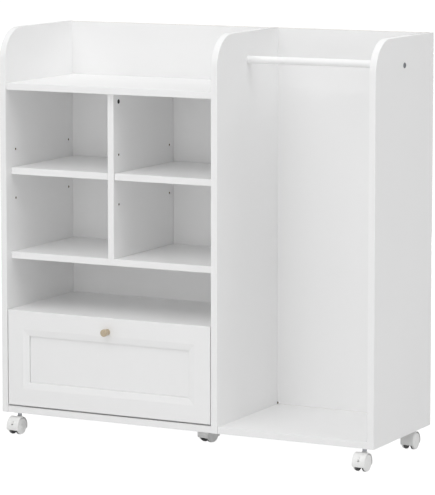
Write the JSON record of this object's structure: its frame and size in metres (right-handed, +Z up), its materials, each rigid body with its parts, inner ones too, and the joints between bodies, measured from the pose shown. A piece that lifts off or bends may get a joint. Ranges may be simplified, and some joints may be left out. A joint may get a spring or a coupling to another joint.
{
  "type": "open-front kids wardrobe",
  "caption": "Low open-front wardrobe for a child: shelf cells over a drawer beside a hanging bay with a rail, on swivel casters, with a raised tray on top.",
  "frame": {"origin": "on the floor, under the middle of the overall width and depth", "axes": "+Z up, +X to the right seen from the front, and the front faces -Y"},
  "size_m": [0.9026, 0.318, 0.899],
  "materials": {
    "laminate": "satin white foil with fine grain, on particle board",
    "back_board": "satin white foil on thin fibreboard",
    "front_foil": "satin white foil wrapped round fibreboard",
    "drawer_board": "satin white foil on particle board",
    "drawer_bottom_board": "white faced thin fibreboard",
    "knob_wood": "matt lacquered turned wood, greyed beige",
    "beech": "fluted raw beech",
    "coated_tube": "white powder coat on steel tube",
    "plug_plastic": "moulded",
    "zinc_plated_steel": "zinc plated",
    "zinc_alloy": "die cast, plain",
    "hood_plastic": "moulded white nylon",
    "wheel_plastic": "white nylon caps over a dark grey tread"
  },
  "bodies": {
    "carcass": {"left_panel": "laminate", "middle_panel": "laminate", "right_panel": "laminate", "left_bottom_board": "laminate", "right_bottom_board": "laminate", "drawer_bay_shelf": "laminate", "middle_shelf": "laminate", "top_shelf": "laminate", "divider": "laminate", "left_adjustable_shelf": "laminate", "right_adjustable_shelf": "laminate", "left_back_panel": "back_board", "right_back_panel": "back_board", "shelf_pins": "zinc_plated_steel", "cam_locks": "zinc_alloy", "cam_bolts": "zinc_plated_steel", "board_dowels": "beech", "divider_screws": "zinc_plated_steel", "hanging_rail": "coated_tube", "rail_plugs": "plug_plastic", "rail_screws": "zinc_plated_steel", "drawer_runners": "laminate", "runner_screws": "zinc_plated_steel", "caster_stems": "zinc_plated_steel", "caster_inserts": "zinc_plated_steel"},
    "drawer": {"drawer_front_rails": "front_foil", "drawer_front_stiles": "front_foil", "drawer_front_panel": "front_foil", "drawer_inner_front": "drawer_board", "drawer_left_side": "drawer_board", "drawer_right_side": "drawer_board", "drawer_back": "drawer_board", "drawer_bottom": "drawer_bottom_board", "drawer_box_screws": "zinc_plated_steel", "drawer_front_screws": "zinc_plated_steel", "drawer_knob": "knob_wood", "knob_screw": "zinc_plated_steel"},
    "front_left_caster": {"front_left_hood": "hood_plastic", "front_left_axle": "zinc_plated_steel"},
    "front_left_left_wheel": {"front_left_left_wheel": "wheel_plastic"},
    "front_left_right_wheel": {"front_left_right_wheel": "wheel_plastic"},
    "front_left_brake_lever": {"front_left_brake_lever": "hood_plastic"},
    "front_right_caster": {"front_right_hood": "hood_plastic", "front_right_axle": "zinc_plated_steel"},
    "front_right_left_wheel": {"front_right_left_wheel": "wheel_plastic"},
    "front_right_right_wheel": {"front_right_right_wheel": "wheel_plastic"},
    "front_right_brake_lever": {"front_right_brake_lever": "hood_plastic"},
    "centre_caster": {"centre_hood": "hood_plastic", "centre_axle": "zinc_plated_steel"},
    "centre_left_wheel": {"centre_left_wheel": "wheel_plastic"},
    "centre_right_wheel": {"centre_right_wheel": "wheel_plastic"},
    "rear_left_caster": {"rear_left_hood": "hood_plastic", "rear_left_axle": "zinc_plated_steel"},
    "rear_left_left_wheel": {"rear_left_left_wheel": "wheel_plastic"},
    "rear_left_right_wheel": {"rear_left_right_wheel": "wheel_plastic"},
    "rear_right_caster": {"rear_right_hood": "hood_plastic", "rear_right_axle": "zinc_plated_steel"},
    "rear_right_left_wheel": {"rear_right_left_wheel": "wheel_plastic"},
    "rear_right_right_wheel": {"rear_right_right_wheel": "wheel_plastic"}
  },
  "joints": [
    {"name": "drawer_slide", "type": "slide", "parent": "carcass", "child": "drawer", "axis": [0, -1, 0], "range_m": [0, 0.19]},
    {"name": "front_left_swivel", "type": "hinge", "parent": "carcass", "child": "front_left_caster", "pos_m": [-0.419, -0.117, 0.049], "axis": [0, 0, 1], "continuous": true},
    {"name": "front_left_left_roll", "type": "hinge", "parent": "front_left_caster", "child": "front_left_left_wheel", "pos_m": [-0.42925, -0.13, 0.0185], "axis": [1, 0, 0], "continuous": true},
    {"name": "front_left_right_roll", "type": "hinge", "parent": "front_left_caster", "child": "front_left_right_wheel", "pos_m": [-0.40875, -0.13, 0.0185], "axis": [1, 0, 0], "continuous": true},
    {"name": "front_left_brake", "type": "hinge", "parent": "front_left_caster", "child": "front_left_brake_lever", "pos_m": [-0.419, -0.141, 0.0285], "axis": [1, 0, 0], "range_deg": [0, 15]},
    {"name": "front_right_swivel", "type": "hinge", "parent": "carcass", "child": "front_right_caster", "pos_m": [0.419, -0.117, 0.049], "axis": [0, 0, 1], "continuous": true},
    {"name": "front_right_left_roll", "type": "hinge", "parent": "front_right_caster", "child": "front_right_left_wheel", "pos_m": [0.40875, -0.13, 0.0185], "axis": [1, 0, 0], "continuous": true},
    {"name": "front_right_right_roll", "type": "hinge", "parent": "front_right_caster", "child": "front_right_right_wheel", "pos_m": [0.42925, -0.13, 0.0185], "axis": [1, 0, 0], "continuous": true},
    {"name": "front_right_brake", "type": "hinge", "parent": "front_right_caster", "child": "front_right_brake_lever", "pos_m": [0.419, -0.141, 0.0285], "axis": [1, 0, 0], "range_deg": [0, 15]},
    {"name": "centre_swivel", "type": "hinge", "parent": "carcass", "child": "centre_caster", "pos_m": [0, 0.002, 0.049], "axis": [0, 0, 1], "continuous": true},
    {"name": "centre_left_roll", "type": "hinge", "parent": "centre_caster", "child": "centre_left_wheel", "pos_m": [-0.01273, -0.00859, 0.0185], "axis": [0.9781, -0.2079, 0], "continuous": true},
    {"name": "centre_right_roll", "type": "hinge", "parent": "centre_caster", "child": "centre_right_wheel", "pos_m": [0.00732, -0.01285, 0.0185], "axis": [0.9781, -0.2079, 0], "continuous": true},
    {"name": "rear_left_swivel", "type": "hinge", "parent": "carcass", "child": "rear_left_caster", "pos_m": [-0.419, 0.135, 0.049], "axis": [0, 0, 1], "continuous": true},
    {"name": "rear_left_left_roll", "type": "hinge", "parent": "rear_left_caster", "child": "rear_left_left_wheel", "pos_m": [-0.42925, 0.122, 0.0185], "axis": [1, 0, 0], "continuous": true},
    {"name": "rear_left_right_roll", "type": "hinge", "parent": "rear_left_caster", "child": "rear_left_right_wheel", "pos_m": [-0.40875, 0.122, 0.0185], "axis": [1, 0, 0], "continuous": true},
    {"name": "rear_right_swivel", "type": "hinge", "parent": "carcass", "child": "rear_right_caster", "pos_m": [0.419, 0.135, 0.049], "axis": [0, 0, 1], "continuous": true},
    {"name": "rear_right_left_roll", "type": "hinge", "parent": "rear_right_caster", "child": "rear_right_left_wheel", "pos_m": [0.40875, 0.122, 0.0185], "axis": [1, 0, 0], "continuous": true},
    {"name": "rear_right_right_roll", "type": "hinge", "parent": "rear_right_caster", "child": "rear_right_right_wheel", "pos_m": [0.42925, 0.122, 0.0185], "axis": [1, 0, 0], "continuous": true}
  ]
}
